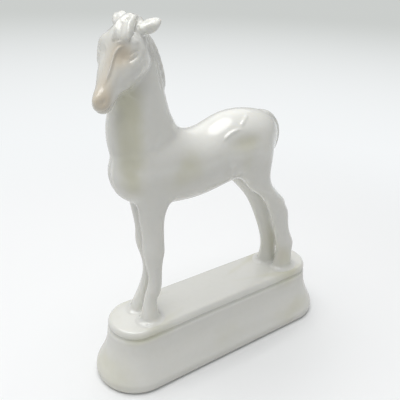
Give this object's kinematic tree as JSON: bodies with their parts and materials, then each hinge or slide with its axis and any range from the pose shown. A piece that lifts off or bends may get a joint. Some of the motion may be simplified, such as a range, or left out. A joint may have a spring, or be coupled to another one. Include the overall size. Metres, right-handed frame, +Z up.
{
  "type": "foal figurine",
  "caption": "Glazed porcelain foal standing on a long rounded plinth, head turned to its left, short mane, forelock and hugging tail.",
  "frame": {"origin": "on the floor under the middle of the plinth, which is also the middle of the whole piece", "axes": "+X towards the foal's head along the plinth, +Y towards the foal's left side, +Z up"},
  "size_m": [0.1282, 0.0386, 0.1607],
  "materials": {
    "plinth_porcelain": "glossy glaze over white porcelain",
    "trunk_porcelain": "glossy glaze over white porcelain",
    "neck_porcelain": "glossy glaze over white porcelain",
    "head_porcelain": "glossy glaze over white porcelain",
    "left_ear_porcelain": "glossy glaze over white porcelain",
    "right_ear_porcelain": "glossy glaze over white porcelain",
    "forelock_porcelain": "glossy glaze over white porcelain",
    "mane_porcelain": "glossy glaze over white porcelain",
    "tail_porcelain": "glossy glaze over white porcelain",
    "left_foreleg_porcelain": "glossy glaze over white porcelain",
    "right_foreleg_porcelain": "glossy glaze over white porcelain",
    "left_hindleg_porcelain": "glossy glaze over white porcelain",
    "right_hindleg_porcelain": "glossy glaze over white porcelain"
  },
  "bodies": {
    "root": {"plinth": "plinth_porcelain", "trunk": "trunk_porcelain", "neck": "neck_porcelain", "head": "head_porcelain", "left_ear": "left_ear_porcelain", "right_ear": "right_ear_porcelain", "forelock": "forelock_porcelain", "mane": "mane_porcelain", "tail": "tail_porcelain", "left_foreleg": "left_foreleg_porcelain", "right_foreleg": "right_foreleg_porcelain", "left_hindleg": "left_hindleg_porcelain", "right_hindleg": "right_hindleg_porcelain"}
  },
  "joints": []
}
